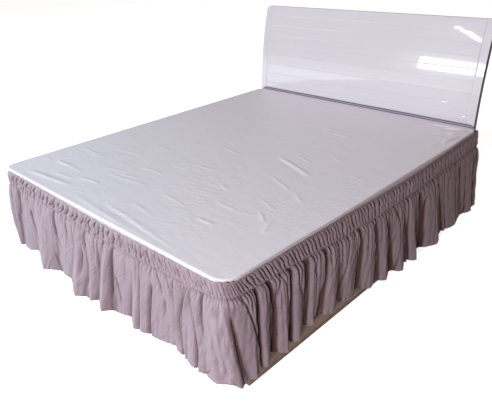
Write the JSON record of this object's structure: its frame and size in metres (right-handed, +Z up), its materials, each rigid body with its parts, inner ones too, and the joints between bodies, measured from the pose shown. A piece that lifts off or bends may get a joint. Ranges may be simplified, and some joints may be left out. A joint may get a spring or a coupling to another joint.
{
  "type": "bed skirt on a bed",
  "caption": "Gathered cloth skirt hung round three sides of a double bed from a shirred elastic band, with the mattress, base and headboard that it fits.",
  "frame": {"origin": "on the floor under the middle of the mattress, on the base's underside", "axes": "+Y along the bed towards the headboard, +Z up, +X to the right as seen from the foot"},
  "size_m": [1.7827, 2.183, 1.074],
  "materials": {
    "base_wood": "satin",
    "mattress_ticking": "matte",
    "sheet_cloth": "satin",
    "headboard_lacquer": "gloss",
    "strap_elastic": "matte",
    "skirt_cloth": "matte"
  },
  "bodies": {
    "root": {"bed_base": "base_wood", "mattress": "mattress_ticking", "fitted_sheet": "sheet_cloth", "headboard": "headboard_lacquer", "head_strap": "strap_elastic", "skirt_heading": "skirt_cloth", "skirt_left": "skirt_cloth", "skirt_foot": "skirt_cloth", "skirt_right": "skirt_cloth"}
  },
  "joints": []
}
